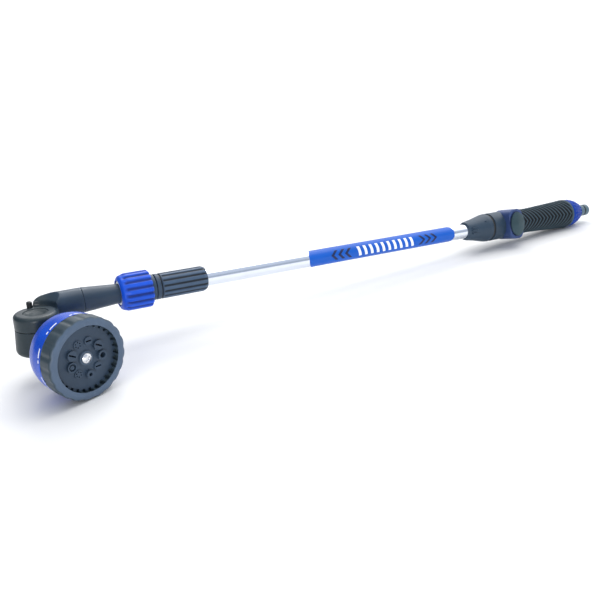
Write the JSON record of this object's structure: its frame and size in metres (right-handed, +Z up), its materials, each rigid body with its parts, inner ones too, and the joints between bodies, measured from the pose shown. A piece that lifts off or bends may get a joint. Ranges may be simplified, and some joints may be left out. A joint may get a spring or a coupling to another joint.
{
  "type": "watering wand",
  "caption": "Telescopic garden watering wand, shut: swivelling spray head with a pattern dial, twist-lock tube, ribbed grip, shut-off knob and push-fit hose nipple",
  "frame": {"origin": "centre of the bounding box in X and Y, on the floor the wand lies on", "axes": "+X runs along the tubes from the spray head to the hose end, +Y is the far side from the shut-off knob, +Z is up from the floor"},
  "size_m": [0.7166, 0.1124, 0.0717],
  "materials": {
    "dark_plastic": "fine-grained dark blue-grey moulding",
    "dial_plastic": "grey moulding of the dial and its face",
    "blue_plastic": "bright blue moulding",
    "white_plastic": "white acetal",
    "black_plastic": "black nylon",
    "chrome_tube": "polished plated tube",
    "steel": "stainless steel",
    "rubber": "black rubber",
    "seat_plastic": "white low-friction plastic",
    "label": "printed blue film"
  },
  "bodies": {
    "handle": {"collet_sleeve": "black_plastic", "split_collet": "white_plastic", "wiper_ring": "rubber", "outer_tube": "chrome_tube", "label": "label", "handle_connector": "dark_plastic", "tube_o_ring": "rubber", "joint_seal": "rubber", "valve_body": "dark_plastic", "valve_bezel": "blue_plastic", "valve_seat_front": "seat_plastic", "valve_seat_rear": "seat_plastic", "seat_retainer": "white_plastic", "stem_seal": "rubber", "grip_core": "black_plastic", "grip_sleeve": "rubber", "end_cap": "blue_plastic", "hose_nipple": "dark_plastic", "nipple_o_ring": "rubber", "inlet_screen": "steel"},
    "telescope": {"neck_elbow": "dark_plastic", "pivot_cap": "dark_plastic", "neck_tail": "dark_plastic", "neck_o_ring": "rubber", "thrust_ring": "white_plastic", "union_gasket": "rubber", "tube_adaptor": "dark_plastic", "inner_tube": "chrome_tube", "tube_guide": "white_plastic", "guide_o_ring": "rubber", "button_spring": "steel"},
    "head": {"swivel_drum": "dark_plastic", "drum_cap": "dark_plastic", "swivel_spigot": "white_plastic", "swivel_o_ring": "rubber", "pivot_screw": "steel", "pivot_washer": "steel", "head_stem": "white_plastic", "stem_o_ring": "rubber", "head_housing": "blue_plastic", "port_seal": "rubber", "detent_ball": "chrome_tube", "detent_spring": "steel", "dial_screw": "chrome_tube", "screw_washer": "steel"},
    "dial": {"dial_ring": "dial_plastic", "nozzle_plate": "dial_plastic", "selector_disc": "white_plastic"},
    "coupling_nut": {"coupling_nut": "blue_plastic"},
    "lock_collar": {"lock_collar": "dark_plastic"},
    "lock_button": {"lock_button": "black_plastic"},
    "valve": {"valve_ball": "chrome_tube", "valve_stem": "white_plastic", "valve_knob": "dial_plastic"}
  },
  "joints": [
    {"name": "telescope_slide", "type": "slide", "parent": "handle", "child": "telescope", "axis": [-0.9979, 0, 0.0646], "range_m": [0, 0.28]},
    {"name": "lock_twist", "type": "hinge", "parent": "handle", "child": "lock_collar", "pos_m": [-0.20835, 0.03856, 0.05136], "axis": [0.9979, 0, -0.0646], "range_deg": [0, 60]},
    {"name": "nut_turn", "type": "hinge", "parent": "telescope", "child": "coupling_nut", "pos_m": [-0.24727, 0.03856, 0.05388], "axis": [0.9979, 0, -0.0646], "range_deg": [0, 60]},
    {"name": "button_press", "type": "slide", "parent": "telescope", "child": "lock_button", "axis": [-0.0646, 0, -0.9979], "range_m": [0, 0.0024], "stiffness_N_per_m": 300, "deforming": ["button_spring"]},
    {"name": "head_swivel", "type": "hinge", "parent": "telescope", "child": "head", "pos_m": [-0.33788, 0.02556, 0.0397], "axis": [-0.0646, 0, -0.9979], "range_deg": [-20, 110]},
    {"name": "dial_turn", "type": "hinge", "parent": "head", "child": "dial", "pos_m": [-0.31251, -0.04492, 0.03455], "axis": [0.3413, -0.9397, -0.0221], "continuous": true},
    {"name": "valve_turn", "type": "hinge", "parent": "handle", "child": "valve", "pos_m": [0.21097, 0.03856, 0.02423], "axis": [0.0134, -0.9781, 0.2075], "range_deg": [0, 90]}
  ]
}
